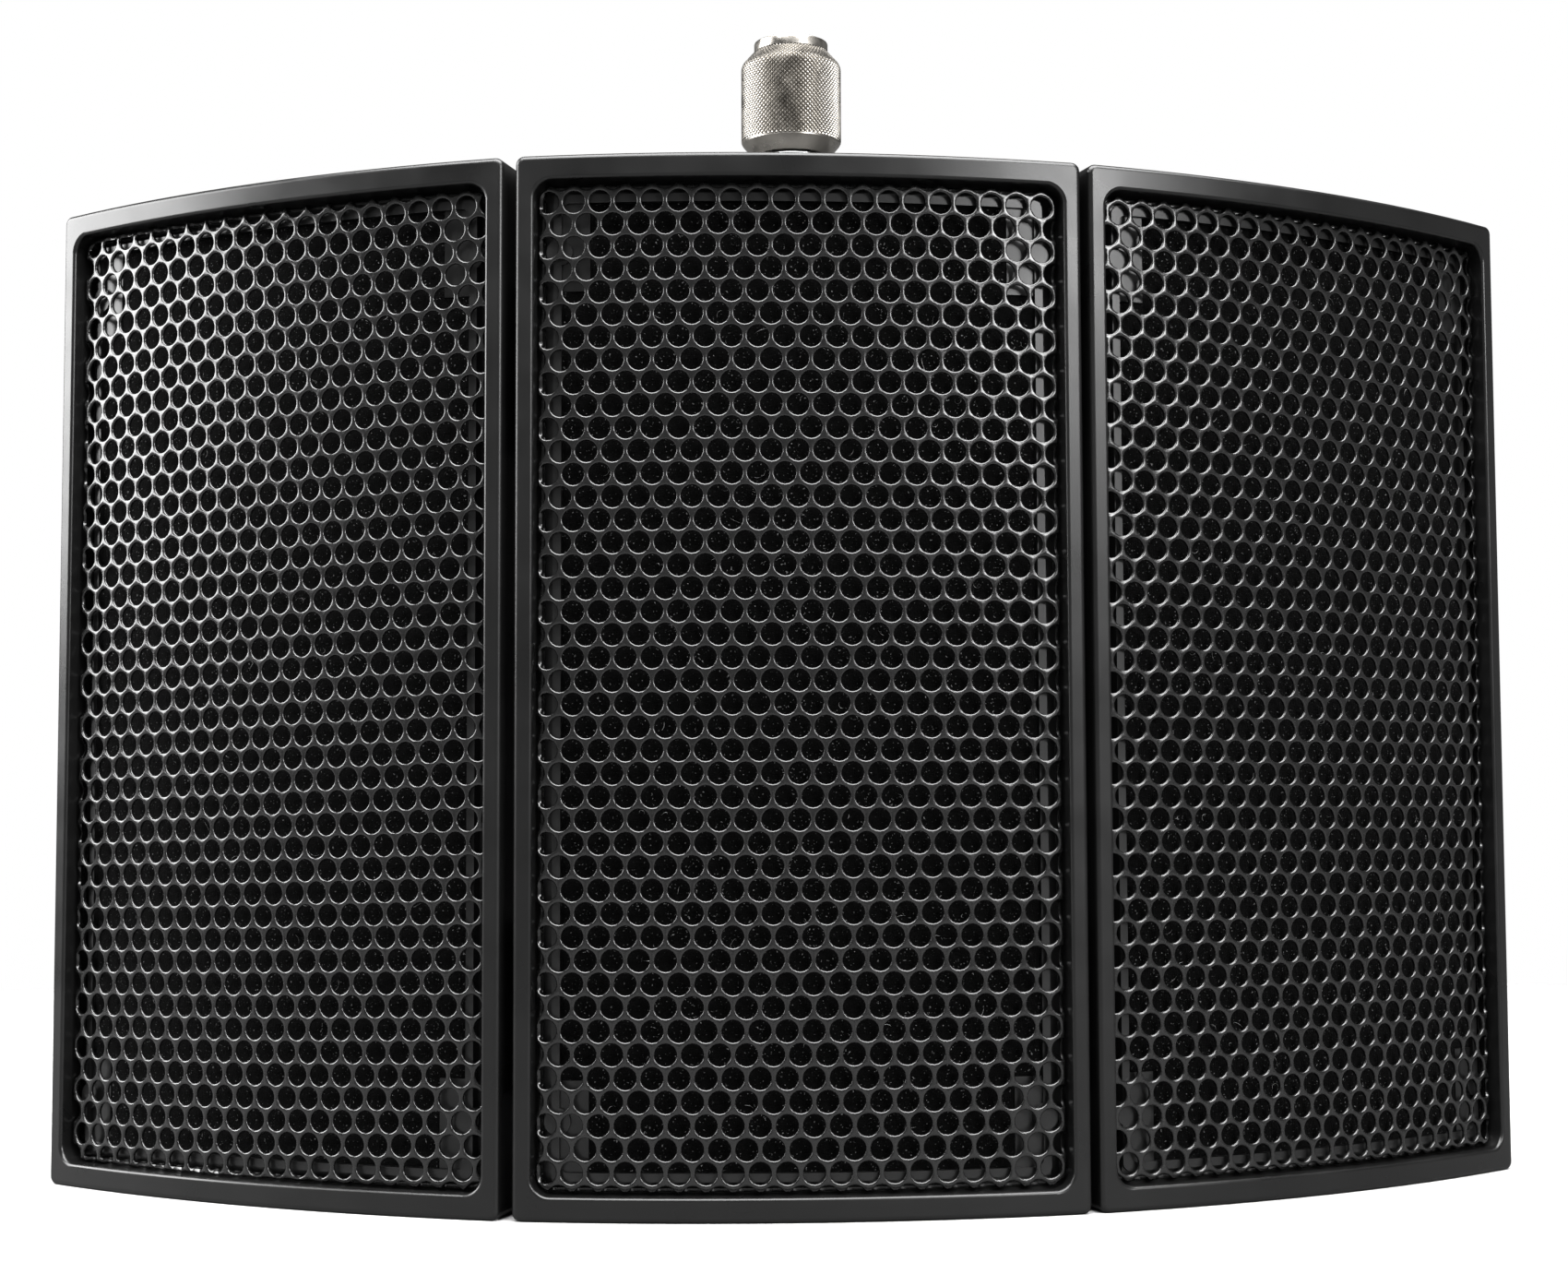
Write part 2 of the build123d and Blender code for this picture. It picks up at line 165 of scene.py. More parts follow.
# ---- materials ----
class Shader:
    """A material with a principled shader, and short calls that add nodes to it."""

    def __init__(self, name, **values):
        self.material = bpy.data.materials.new(name)
        self.material.use_nodes = True
        self.tree = self.material.node_tree
        self.surface = self.tree.nodes["Principled BSDF"]
        self.place = self.tree.nodes.new("ShaderNodeTexCoord").outputs["Object"]
        for socket, value in values.items():
            self.surface.inputs[socket.replace("_", " ")].default_value = value

    def node(self, kind, links=(), **settings):
        """A node with its properties set and its inputs linked or set by name."""
        made = self.tree.nodes.new("ShaderNode" + kind)
        for key, value in settings.items():
            setattr(made, key, value)
        for socket, value in dict(links).items():
            if isinstance(value, bpy.types.NodeSocket):
                self.tree.links.new(value, made.inputs[socket])
            else:
                made.inputs[socket].default_value = value
        return made

    def noise(self, scale, detail=3.0, rough=0.6, place=None):
        links = {"Vector": place or self.place, "Scale": scale, "Detail": detail, "Roughness": rough}
        return self.node("TexNoise", links).outputs["Fac"]

    def cells(self, scale, feature="F1"):
        made = self.node("TexVoronoi", {"Vector": self.place, "Scale": scale}, feature=feature)
        return made.outputs["Distance"]

    def stretched(self, scale):
        """Object places, stretched by a vector."""
        made = self.node("Mapping", {"Vector": self.place, "Scale": scale})
        return made.outputs["Vector"]

    def between(self, factor, low, high, start=0.0, end=1.0):
        """A number that goes from low to high as a factor goes from start to end."""
        links = {"Value": factor, "From Min": start, "From Max": end, "To Min": low, "To Max": high}
        return self.node("MapRange", links).outputs["Result"]

    def colours(self, factor, *stops):
        """A colour ramp: each stop is a place and a grey or a colour."""
        ramp = self.node("ValToRGB", {"Fac": factor})
        points = ramp.color_ramp.elements
        while len(points) < len(stops):
            points.new(0.5)
        for point, (position, colour) in zip(points, stops):
            colour = colour if isinstance(colour, tuple) else (colour,) * 3
            point.position = position
            point.color = (*colour, 1.0)
        return ramp.outputs["Color"]

    def mixed(self, factor, first, second, blend="MIX"):
        """Two colours, blended by a factor."""
        links = {"Fac": factor, "Color1": first, "Color2": second}
        return self.node("MixRGB", links, blend_type=blend).outputs["Color"]

    def bump(self, height, distance, below=None):
        links = {"Height": height, "Distance": distance, "Strength": 1.0}
        if below is not None:
            links["Normal"] = below
        return self.node("Bump", links).outputs["Normal"]

    def feed(self, socket, value):
        self.tree.links.new(value, self.surface.inputs[socket])


def moulded_plastic(name, grey, roughness):
    """Satin black ABS with a fine moulded grain."""
    shader = Shader(name, Specular_IOR_Level=0.5)
    grain = shader.noise(2600.0, 4.0)
    drift = shader.noise(55.0, 2.0)
    shader.feed("Base Color", shader.colours(drift, (0.3, grey * 0.86), (0.7, grey * 1.14)))
    shader.feed("Roughness", shader.between(drift, roughness - 0.04, roughness + 0.05, 0.3, 0.7))
    shader.feed("Normal", shader.bump(grain, 0.000006))
    return shader.material


def powder_coat(name, grey, roughness):
    """Semi-gloss black powder coat, with the faint orange peel that it cures with."""
    shader = Shader(name, Specular_IOR_Level=0.75)
    peel = shader.noise(1100.0, 2.0, 0.5)
    drift = shader.noise(90.0, 2.0)
    shader.feed("Base Color", shader.colours(drift, (0.3, grey * 0.85), (0.7, grey * 1.15)))
    shader.feed("Roughness", shader.between(peel, roughness - 0.05, roughness + 0.07, 0.3, 0.7))
    shader.feed("Normal", shader.bump(peel, 0.000007))
    return shader.material


def needle_felt(name):
    """Black felt: matted fibres with a few pale ones caught among them."""
    shader = Shader(name, Specular_IOR_Level=0.08, Sheen_Weight=0.02, Sheen_Roughness=0.5)
    fibre_a = shader.noise(1.0, 3.0, 0.6, shader.stretched((900.0, 900.0, 4200.0)))
    fibre_b = shader.noise(1.0, 3.0, 0.6, shader.stretched((4200.0, 900.0, 900.0)))
    matted = shader.node("Math", {0: fibre_a, 1: fibre_b}, operation="MULTIPLY").outputs[0]
    flecks = shader.noise(2300.0, 1.0, 0.4)
    body = shader.colours(matted, (0.16, 0.0002), (0.42, 0.0016))
    pale = shader.between(flecks, 0.0, 1.0, 0.70, 0.76)
    shader.feed("Base Color", shader.mixed(pale, body, (0.16, 0.16, 0.16, 1.0)))
    shader.surface.inputs["Roughness"].default_value = 0.95
    shader.feed("Normal", shader.bump(matted, 0.0004))
    return shader.material


def open_foam(name):
    """Charcoal open-cell foam."""
    shader = Shader(name, Specular_IOR_Level=0.2, Sheen_Weight=0.15, Sheen_Roughness=0.6)
    pores = shader.cells(1500.0)
    coarse = shader.noise(420.0, 3.0)
    shade = shader.colours(pores, (0.1, 0.006), (0.65, 0.036))
    shader.feed("Base Color", shade)
    shader.surface.inputs["Roughness"].default_value = 0.9
    shader.feed("Normal", shader.bump(pores, 0.0005, shader.bump(coarse, 0.0005)))
    return shader.material


def plated_metal(name, colour, roughness, brushed, shade_in_grooves=False):
    """Bare or plated metal with fine turning or drawing marks, and optionally painted shade that darkens its
    grooves and other hollows.
    """
    shader = Shader(name, Metallic=1.0)
    marks = shader.noise(1.0, 3.0, 0.6, shader.stretched(brushed))
    drift = shader.noise(240.0, 3.0)
    dark = tuple(c * 0.82 for c in colour)
    plate = shader.colours(drift, (0.3, dark), (0.7, colour))
    if shade_in_grooves:
        # painted shade: the base colour is darkened wherever the mesh is hollow, as in the knurl's grooves, the
        # thread and the bore
        hollow = shader.node("NewGeometry").outputs["Pointiness"]
        groove_shade = shader.colours(hollow, (0.46, 0.03), (0.51, 1.0))
        plate = shader.mixed(1.0, plate, groove_shade, "MULTIPLY")
    shader.feed("Base Color", plate)
    shader.feed("Roughness", shader.between(drift, roughness * 0.7, roughness * 1.35, 0.3, 0.7))
    shader.feed("Normal", shader.bump(marks, 0.000002))
    return shader.material


def fibre_stuff(name):
    """Pale polyester of the stray fibres."""
    shader = Shader(name, Roughness=0.6)
    drift = shader.noise(700.0, 2.0)
    shader.feed("Base Color", shader.colours(drift, (0.4, 0.04), (0.6, 0.45)))
    return shader.material


# how fast the turning marks change along each axis
ALONG_Z = (300.0, 300.0, 6000.0)
EVEN = (1500.0, 1500.0, 1500.0)
MATERIALS = {
    "bezel_plastic": moulded_plastic("bezel_plastic", 0.0035, 0.3),
    "inner_plastic": moulded_plastic("inner_plastic", 0.009, 0.32),
    "rear_plastic": moulded_plastic("rear_plastic", 0.012, 0.48),
    "grille_steel": powder_coat("grille_steel", 0.004, 0.22),
    "bracket_steel": powder_coat("bracket_steel", 0.024, 0.4),
    "hinge_steel": powder_coat("hinge_steel", 0.026, 0.36),
    "black_screws": plated_metal("black_screws", (0.09, 0.09, 0.092), 0.35, EVEN),
    "pin_steel": plated_metal("pin_steel", (0.55, 0.55, 0.55), 0.3, EVEN),
    "zinc_steel": plated_metal("zinc_steel", (0.62, 0.63, 0.64), 0.3, EVEN),
    "post_steel": plated_metal("post_steel", (0.56, 0.56, 0.55), 0.25, ALONG_Z),
    # the nut's knurl grooves and other hollows get painted shade
    "nut_nickel": plated_metal("nut_nickel", (0.36, 0.34, 0.31), 0.32, ALONG_Z, True),
    "felt": needle_felt("felt"),
    "foam": open_foam("foam"),
    "fibre": fibre_stuff("fibre"),
}


# ---- the CAD nodes that stay ----
def dress_cad_nodes():
    """Each node's slot in the record picks its material. Sharp metal edges are eased."""
    eased = {"mount_bracket": 0.35, "mount_lock_nut": 0.4, "mount_washer": 0.2, "swivel_post": 0.4}
    for part in frame["record"]["subparts"]:
        node = frame["nodes"][part["node"]]
        node.data.materials.clear()
        node.data.materials.append(MATERIALS[part["material_slot"]])
        if "leaves" in node.name:
            eased[node.name] = 0.25
        if node.name in eased:
            weld = node.modifiers.new("weld", "WELD")
            weld.merge_threshold = 0.002 * MM
            bevel = node.modifiers.new("bevel", "BEVEL")
            bevel.width = eased[node.name] * MM
            bevel.segments = 2
            bevel.limit_method = "ANGLE"
            bevel.angle_limit = math.radians(40)
            bevel.harden_normals = True


dress_cad_nodes()

# ---- grilles ----
HOLE_PITCH = 6.0 * MM
HOLE_RADIUS = 2.5 * MM
SHEET = 0.8 * MM
RIM = 0.36 * MM                     # rounding that the punch leaves at the front
CELL_POINTS = 18                    # round each hole
FACE_HALF = np.array((turn_at(4.8 * MM) * GRILLE_RADIUS, PANEL_HEIGHT / 2 - 6.1 * MM))
FACE_CORNER = 3.8 * MM
BEND = 0.9 * MM                     # outer radius of the folded edge
BEND_RUN = BEND * math.pi / 2
FLANGE_DEPTH = 5.0 * MM
FLANGE_RUN = BEND_RUN + FLANGE_DEPTH - BEND
SQUEEZE_FROM = 2.4 * MM             # past here the hidden flange is shortened
LAST_CENTRE = 5.6 * MM              # furthest hole centre past the start of the bend
# the middle hole of each punched sheet: right of and above the panel's middle, and its turn
LATTICE = {
    "centre": (-0.83 * MM, 0.10 * MM, 0.0),
    "left": (9.96 * MM, -6.23 * MM, 0.0293),
    "right": (-7.80 * MM, -5.43 * MM, -0.0024),
}


def past_bend(points):
    """How far flat points lie past the start of the fold, and which way is out."""
    corner = FACE_CORNER - BEND
    from_corner = np.abs(points) - (FACE_HALF - BEND - corner)
    outside = np.maximum(from_corner, 0.0)
    reach = np.linalg.norm(outside, axis=1)
    past = reach + np.minimum(from_corner.max(axis=1), 0.0) - corner
    safe = np.maximum(reach, 1e-9)[:, None]
    return past, np.sign(points) * outside / safe


def fold(points, depth):
    """Flat sheet points and their depth in the sheet, with the edges folded back."""
    past, outward = past_bend(points)
    run = np.maximum(past, 0.0)
    start = points - outward * run[:, None]
    room = (FLANGE_RUN - SQUEEZE_FROM) / (LAST_CENTRE + HOLE_PITCH * 0.6 - SQUEEZE_FROM)
    run = np.where(run > SQUEEZE_FROM, SQUEEZE_FROM + (run - SQUEEZE_FROM) * room, run)
    angle = np.minimum(run, BEND_RUN) / BEND
    straight = np.maximum(run - BEND_RUN, 0.0)
    out = (BEND - depth) * np.sin(angle)
    back = BEND - (BEND - depth) * np.cos(angle) + straight
    flat = start + outward * out[:, None]
    return wrap(flat[:, 0], flat[:, 1] + PANEL_HEIGHT / 2, GRILLE_RADIUS - back, GRILLE_RADIUS)


def hole_centres(seed_u, seed_v, turn):
    """Every hole centre of the staggered pattern that the sheet has room for."""
    reach = np.arange(-30, 31)      # more rows and columns each way than any sheet holds
    i, j = (grid.ravel() for grid in np.meshgrid(reach, reach))
    staggered = (i + j) % 2 == 0
    x = i[staggered] * HOLE_PITCH / 2
    y = j[staggered] * HOLE_PITCH * math.sqrt(3) / 2
    centres = np.stack([
        seed_u + x * math.cos(turn) - y * math.sin(turn),
        seed_v + x * math.sin(turn) + y * math.cos(turn),
    ], axis=1)
    past, _ = past_bend(centres)
    return centres[past < LAST_CENTRE]


def hole_rings(turn):
    """One hole's cell as rings from its hexagonal border, in through the hole, to the back."""
    angle = np.radians(10.0) + np.arange(CELL_POINTS) * 2 * math.pi / CELL_POINTS
    from_flat = (angle + math.pi / 6) % (math.pi / 3) - math.pi / 6
    border = HOLE_PITCH / 2 / np.cos(from_flat)
    eased = RIM * (1 - math.sqrt(0.5))
    circle = np.ones(CELL_POINTS)
    rings = (
        (border, 0.0),
        (circle * (HOLE_RADIUS + RIM), 0.0),
        (circle * (HOLE_RADIUS + eased), eased),
        (circle * HOLE_RADIUS, RIM),
        (circle * HOLE_RADIUS, SHEET),
        (border, SHEET),
    )
    direction = np.stack([np.cos(angle + turn), np.sin(angle + turn)], axis=1)
    places = np.concatenate([radius[:, None] * direction for radius, _ in rings])
    depths = np.concatenate([np.full(CELL_POINTS, depth) for _, depth in rings])
    return places, depths, len(rings)


def make_grille(name):
    """A perforated sheet: one ring of quads per step of each hole, joined cell to cell."""
    seed_u, seed_v, turn = LATTICE[name]
    centres = hole_centres(seed_u, seed_v, turn)
    places, depths, ring_count = hole_rings(turn)
    points = (centres[:, None, :] + places[None, :, :]).reshape(-1, 2)
    depth = np.tile(depths, len(centres))
    grid = 0.001 * MM
    keys = np.round(np.column_stack([points, depth]) / grid).astype(np.int64)
    _, first, joined = np.unique(keys, axis=0, return_index=True, return_inverse=True)
    joined = joined.reshape(len(centres), ring_count, CELL_POINTS)
    following = np.roll(joined, -1, axis=2)
    quads = np.stack(
        [joined[:, :-1], following[:, :-1], following[:, 1:], joined[:, 1:]], axis=-1
    ).reshape(-1, 4)
    edges = np.stack([joined[:, 0], following[:, 0]], axis=-1).reshape(-1, 2)
    behind = np.stack([joined[:, -1], following[:, -1]], axis=-1).reshape(-1, 2)
    _, which, uses = np.unique(
        np.sort(edges, axis=1), axis=0, return_inverse=True, return_counts=True
    )
    rim = uses[which.ravel()] == 1
    walls = np.column_stack([edges[rim][:, ::-1], behind[rim]])
    vertices = placed(fold(points[first], depth[first]), panel_place(name))
    faces = np.concatenate([quads, walls]).tolist()
    piece = make_piece(name + "_grille_sheet", vertices, faces, MATERIALS["grille_steel"], 50.0)
    weighted = piece.modifiers.new("weighted", "WEIGHTED_NORMAL")
    weighted.keep_sharp = True
    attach(piece, body_of_panel(name))
    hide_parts(name + "_grille")


# ---- felt and foam ----
# both reach 0.4 mm past their CAD solids at every edge, so that no daylight shows round them
FELT_INSET = (10.0 * MM, 10.4 * MM)  # from the panel's sides and ends
FOAM_INSET = (11.6 * MM, 11.6 * MM)
NOTCH = (16.6 * MM, 30.6 * MM)      # cut away at the corners, from the panel's edges
FELT_STEP = 2.2 * MM
FELT_EASE = 0.25 * MM               # front and back stay this far inside the CAD felt, for waves


def steps_between(stops, step):
    """Places from the first stop to the last, at most a step apart, with every stop kept."""
    places = [stops[0]]
    for low, high in zip(stops, stops[1:]):
        count = max(1, math.ceil((high - low) / step))
        places.extend(low + (high - low) * (k + 1) / count for k in range(count))
    return np.array(places)


def notched_layer(radius, inset, step, front, back):
    """A closed layer with notched corners. front and back give radii at places on it."""
    half, notch = turn_at(inset[0]) * radius, turn_at(NOTCH[0]) * radius
    across = steps_between([-half, -notch, notch, half], step)
    low, high = inset[1], PANEL_HEIGHT - inset[1]
    upright = steps_between([low, NOTCH[1], PANEL_HEIGHT - NOTCH[1], high], step)
    u, v = np.meshgrid(across, upright)
    mid_u = (across[1:] + across[:-1]) / 2
    mid_v = (upright[1:] + upright[:-1]) / 2
    side = np.abs(mid_u) > notch
    end = np.abs(mid_v - PANEL_HEIGHT / 2) > PANEL_HEIGHT / 2 - NOTCH[1]
    kept = ~(end[:, None] & side[None, :])
    count = u.size
    index = np.arange(count).reshape(u.shape)
    quad = np.stack(
        [index[:-1, :-1], index[:-1, 1:], index[1:, 1:], index[1:, :-1]], axis=-1
    )[kept]
    edges = np.concatenate([quad[:, [k, (k + 1) % 4]] for k in range(4)])
    _, which, uses = np.unique(
        np.sort(edges, axis=1), axis=0, return_inverse=True, return_counts=True
    )
    rim = edges[uses[which.ravel()] == 1]
    walls = np.column_stack([rim[:, ::-1], rim + count])
    faces = np.concatenate([quad, quad[:, ::-1] + count, walls])
    vertices = np.concatenate([
        wrap(u.ravel(), v.ravel(), front(u, v).ravel(), radius),
        wrap(u.ravel(), v.ravel(), back(u, v).ravel(), radius),
    ])
    used, compact = np.unique(faces, return_inverse=True)
    return vertices[used], compact.reshape(faces.shape), half, notch


def felt_waves(u, v, phase):
    """The felt's slight unevenness: long diagonal creases and shorter lumps."""
    long_wave = np.sin(u * 61.0 + v * 44.0 + phase) * np.sin(v * 23.0 - u * 17.0 + 2 * phase)
    lumps = np.sin(u * 210.0 - v * 90.0 + phase) * np.sin(v * 170.0 + u * 60.0)
    return 0.16 * MM * long_wave + 0.05 * MM * lumps


def make_felt(name, phase):
    """A sheet of needle felt in the retainer's window."""
    thickness = FELT_RADIUS - FOAM_RADIUS

    def front(u, v):
        return FELT_RADIUS - FELT_EASE + felt_waves(u, v, phase)

    def back(u, v):
        return front(u, v) - thickness + 2 * FELT_EASE

    vertices, faces, half, notch = notched_layer(FELT_RADIUS, FELT_INSET, FELT_STEP, front, back)
    vertices = placed(vertices, panel_place(name))
    piece = make_piece(name + "_felt_sheet", vertices, faces.tolist(), MATERIALS["felt"])
    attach(piece, body_of_panel(name))
    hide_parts(name + "_felt")
    fibres = make_fibres(name, phase)


FIBRES = 90
FIBRE_STEPS = 6
FIBRE_MARGIN = 18 * MM              # from the panel's bottom and top


def make_fibres(name, phase):
    """Stray pale fibres lying on the felt, each a thin bent tube."""
    draw = random.Random(100 + PANELS[name])
    parts = Parts()
    half = turn_at(NOTCH[0]) * FELT_RADIUS - 4 * MM
    for _ in range(FIBRES):
        u = draw.uniform(-half, half)
        v = draw.uniform(FIBRE_MARGIN, PANEL_HEIGHT - FIBRE_MARGIN)
        heading = draw.uniform(0, 2 * math.pi)
        bend = draw.gauss(0, 0.35)
        length = draw.uniform(0.8, 3.6) * MM
        thick = draw.uniform(0.025, 0.06) * MM
        rings = []
        for k in range(FIBRE_STEPS + 1):
            flat = np.array((u, v))
            level = FELT_RADIUS - 0.22 * MM + felt_waves(u, v, phase) + thick
            slim = thick * math.sin(math.pi * (k + 0.6) / (FIBRE_STEPS + 1.2))
            ring = []
            for corner in range(4):
                around = corner * math.pi / 2
                side = np.array((-math.sin(heading), math.cos(heading))) * math.cos(around)
                place = flat + side * slim
                ring.append(wrap(place[0], place[1], level + slim * math.sin(around), FELT_RADIUS))
            rings.append(ring)
            u += math.cos(heading) * length / FIBRE_STEPS
            v += math.sin(heading) * length / FIBRE_STEPS
            heading += bend
        parts.add(*loft(rings, True, True))
    vertices = placed(parts.vertices, panel_place(name))
    piece = make_piece(name + "_felt_fibres", vertices, parts.faces, MATERIALS["fibre"])
    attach(piece, body_of_panel(name))
    return piece


FOAM_TIP_RADIUS = REAR_RADIUS - 5.7 * MM
FOAM_RELIEF = 11.0 * MM             # tip to valley
PYRAMIDS = (7, 14)                  # across and up
TIP_ROUNDING = 0.012                # 0 would leave the pyramids sharp
FOAM_STEP = 1.1 * MM


def make_foam(name):
    """Acoustic foam with rounded pyramids towards the microphone."""
    half = turn_at(FOAM_INSET[0]) * FOAM_RADIUS
    length = PANEL_HEIGHT - 2 * FOAM_INSET[1]

    def front(u, v):
        return np.full_like(u, FOAM_RADIUS - 0.1 * MM)

    def back(u, v):
        across = (u + half) / (2 * half) * PYRAMIDS[0] % 1.0 * 2 - 1
        upright = (v - FOAM_INSET[1]) / length * PYRAMIDS[1] % 1.0 * 2 - 1
        wide = np.maximum(np.abs(across), np.abs(upright))
        rounded = np.sqrt(wide * wide + TIP_ROUNDING) - math.sqrt(TIP_ROUNDING)
        rise = 1 - rounded / (math.sqrt(1 + TIP_ROUNDING) - math.sqrt(TIP_ROUNDING))
        uneven = 0.25 * MM * np.sin(u * 160 + v * 90) * np.sin(v * 140 - u * 75)
        return FOAM_TIP_RADIUS + 0.3 * MM + FOAM_RELIEF * (1 - rise) + uneven * (1 - rise)

    vertices, faces, _, _ = notched_layer(FOAM_RADIUS, FOAM_INSET, FOAM_STEP, front, back)
    vertices = placed(vertices, panel_place(name))
    piece = make_piece(name + "_foam_pad", vertices, faces.tolist(), MATERIALS["foam"], 60.0)
    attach(piece, body_of_panel(name))
    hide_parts(name + "_foam")


# ---- screws ----
SCREW_POINTS = 48


def circle_ring(radius, height, points=SCREW_POINTS):
    """A level circle of points about the Z axis."""
    angles = [2 * math.pi * k / points for k in range(points)]
    return [(radius * math.cos(a), radius * math.sin(a), height) for a in angles]


def cross_ring(arm, half_width, height):
    """A cross outline as a ring: the further of two crossed bars in each direction."""
    ring = []
    for k in range(SCREW_POINTS):
        angle = 2 * math.pi * k / SCREW_POINTS
        c = max(abs(math.cos(angle)), 1e-6)
        s = max(abs(math.sin(angle)), 1e-6)
        reach = max(min(arm / c, half_width / s), min(half_width / c, arm / s))
        ring.append((reach * math.cos(angle), reach * math.sin(angle), height))
    return ring


def screw_shape(head, head_height, shank, length, countersunk):
    """A cross-recess screw with its head's top at Z = 0 and its shank towards -Z."""
    arm, bar = 0.56 * head, 0.13 * head
    depth = 0.62 * head_height + 0.3 * MM
    rings = [circle_ring(shank * 0.5, -length), circle_ring(shank, -length + shank)]
    if countersunk:
        rings += [circle_ring(shank, -head_height), circle_ring(head * 0.985, -0.12 * MM)]
        rings += [circle_ring(head * 0.95, -0.02 * MM), circle_ring(head * 0.8, 0.0)]
        dome = 0.0
    else:
        rings += [circle_ring(shank, -head_height), circle_ring(head * 0.97, -head_height)]
        rings += [circle_ring(head, -head_height * 0.86), circle_ring(head, -head_height * 0.5)]
        dome = head_height * 0.3
        rings += [circle_ring(head * 0.93, -dome), circle_ring(head * 0.78, -dome * 0.45)]
    rings += [cross_ring(arm, bar, 0.0), cross_ring(arm * 0.96, bar * 0.85, -0.15 * MM)]
    rings += [cross_ring(arm * 0.45, bar * 0.6, -depth)]
    return loft(rings, True, True)


def radial_place(radius, turn, height):
    """A frame at the back of a panel, with Z pointing out towards the microphone."""
    inward = -on_arc(1.0, turn)
    across = Vector((-math.cos(turn), -math.sin(turn), 0.0))
    up = inward.cross(across)
    matrix = Matrix((across, up, inward)).transposed().to_4x4()
    matrix.translation = on_arc(radius, turn) + Vector((0, 0, height))
    return matrix


def make_screws(name, body, shape, places, node):
    """Every screw of one node, each turned a little differently."""
    draw = random.Random(node)
    parts = Parts()
    for place in places:
        turned = place @ Matrix.Rotation(draw.uniform(0, math.pi), 4, "Z")
        parts.add(list(placed(shape[0], turned)), shape[1])
    slot = next(s["material_slot"] for s in frame["record"]["subparts"] if s["node"] == node)
    piece = make_piece(name, parts.vertices, parts.faces, MATERIALS[slot], 35.0)
    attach(piece, body)
    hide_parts(node)


BOSS_INSET = (9.4 * MM, 21.5 * MM)
HINGE_MIDDLE = 45.0 * MM            # from the panel's bottom or top
HINGE_SCREW_SPREAD = 13.0 * MM
HINGE_SCREW_INSET = 6.2 * MM
LEAF = 1.2 * MM                     # thickness of a hinge leaf
PAN_HEAD = 2.8 * MM                 # radius
PAN_HEAD_HEIGHT = 1.8 * MM
PAN_SHANK = 1.5 * MM                # radius


def make_frame_screws(name):
    """The four pan-head screws at a panel's corners."""
    shape = screw_shape(PAN_HEAD, PAN_HEAD_HEIGHT, PAN_SHANK, 14.0 * MM, False)
    radius = REAR_RADIUS + 0.2 * MM
    heights = (BOSS_INSET[1], PANEL_HEIGHT - BOSS_INSET[1])
    places = [
        panel_place(name) @ radial_place(radius, side * turn_at(BOSS_INSET[0]), height)
        for side in (-1, 1)
        for height in heights
    ]
    node = name + "_frame_screws"
    make_screws(name + "_corner_screws", body_of_panel(name), shape, places, node)


def make_hinge_screws(wing):
    """Countersunk screws in the fixed leaves and in the moving ones."""
    side = PANELS[wing]
    shape = screw_shape(2.3 * MM, LEAF, 1.2 * MM, 6.5 * MM, True)
    heights = [
        middle + step
        for middle in (HINGE_MIDDLE, PANEL_HEIGHT - HINGE_MIDDLE)
        for step in (-HINGE_SCREW_SPREAD, HINGE_SCREW_SPREAD)
    ]
    turn = turn_at(HINGE_SCREW_INSET)
    for panel, edge, kind in (("centre", side, "fixed"), (wing, -side, "moving")):
        places = [
            panel_place(panel) @ radial_place(REAR_RADIUS - LEAF, edge * turn, height)
            for height in heights
        ]
        node = wing + "_hinge_" + kind + "_screws"
        make_screws(node + "_crosshead", body_of_panel(panel), shape, places, node)


def make_bracket_screws():
    """Two pan-head screws through the bracket's leg."""
    low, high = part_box("bracket_screws")
    shape = screw_shape(PAN_HEAD, PAN_HEAD_HEIGHT, PAN_SHANK, high.y - low.y, False)
    height = (low.z + high.z) / 2
    upright = Matrix.Rotation(math.radians(-90), 4, "X")
    places = [
        Matrix.Translation((x, high.y, height)) @ upright
        for x in (low.x + PAN_HEAD, high.x - PAN_HEAD)
    ]
    node = "bracket_screws"
    make_screws("bracket_crosshead_screws", "centre_panel", shape, places, node)


# ---- the knurled swivel nut ----
KNURLS = 68
KNURL_DEPTH = 0.34 * MM
KNURL_FLAT = 0.30                   # share of each diamond that stays flat on top
NUT_RADIUS = 12.05 * MM
NUT_BEVEL_TOP = 11.8 * MM           # these heights are above the panel's top
NUT_KNURL_TOP = 30.5 * MM
NUT_SHOULDER = 2.6 * MM             # radius of the rounding between side and slope
NUT_RING_BASE = 34.0 * MM
NUT_RING_RADIUS = 8.9 * MM
THREAD_PITCH = 25.4 * MM / 27
THREAD_RADIUS = 7.5 * MM
THREAD_LENGTH = 15.5 * MM
THREAD_DEPTH = 0.4 * MM
POST_HOLE = 5.05 * MM               # the web's hole round the post
WEB_TOP = 17.0 * MM                 # the web's upper face
BORE_RADIUS = 7.9 * MM              # plain bore between the thread and the web


def knurl_profile():
    """Points up the knurled side: straight, round a shoulder, and in to the ring."""
    steps = 8
    slope = math.atan2(NUT_RADIUS - NUT_RING_RADIUS, NUT_RING_BASE - NUT_KNURL_TOP)
    start = NUT_KNURL_TOP - NUT_SHOULDER * math.tan(slope / 2)
    points = [(NUT_RADIUS, NUT_BEVEL_TOP), (NUT_RADIUS, start)]
    for k in range(1, steps + 1):
        angle = slope * k / steps
        points.append((
            NUT_RADIUS - NUT_SHOULDER * (1 - math.cos(angle)),
            start + NUT_SHOULDER * math.sin(angle),
        ))
    points.append((NUT_RING_RADIUS, NUT_RING_BASE))
    return np.array(points)


